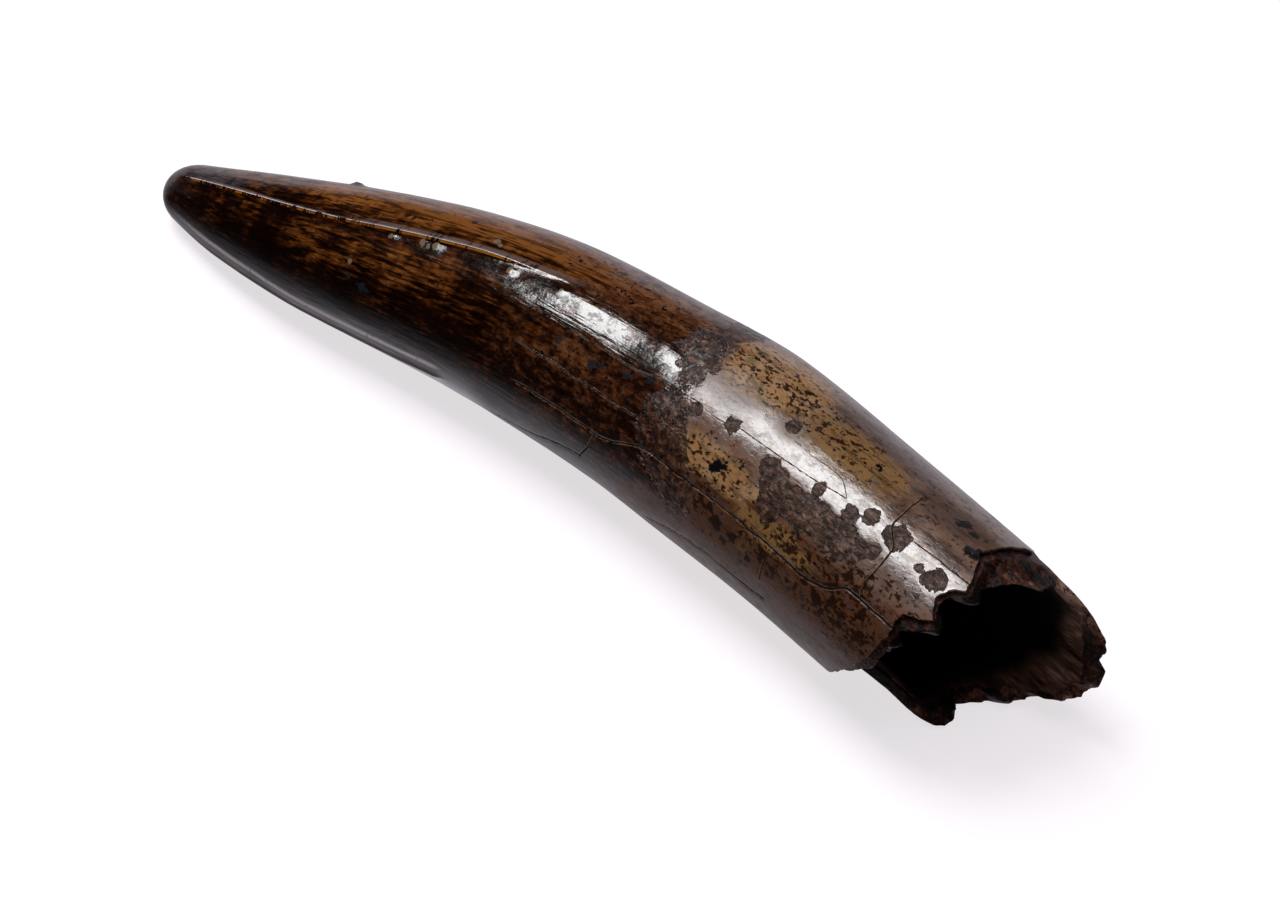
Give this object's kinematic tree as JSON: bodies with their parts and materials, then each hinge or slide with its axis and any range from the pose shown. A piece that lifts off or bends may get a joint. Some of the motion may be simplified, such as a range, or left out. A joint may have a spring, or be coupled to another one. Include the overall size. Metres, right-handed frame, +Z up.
{
  "type": "fossil crocodile tooth",
  "caption": "Fossil crocodile tooth lying on its side: a curved keeled crown and a cracked, speckled root broken open at its pulp cavity.",
  "frame": {"origin": "on the surface the tooth rests on, under the root, 12 mm in from the root's datum ring", "axes": "+X out of the broken pulp cavity along the root, the crown towards -X and curling to -Y, +Z up"},
  "size_m": [0.0554, 0.0144, 0.0104],
  "materials": {
    "fossil_enamel": "glossy near-black and amber-brown enamel with fine lengthwise striae; tan and lilac-grey root with dark crusts and cracks; rough red-brown break"
  },
  "bodies": {
    "root": {"tooth": "fossil_enamel"}
  },
  "joints": []
}
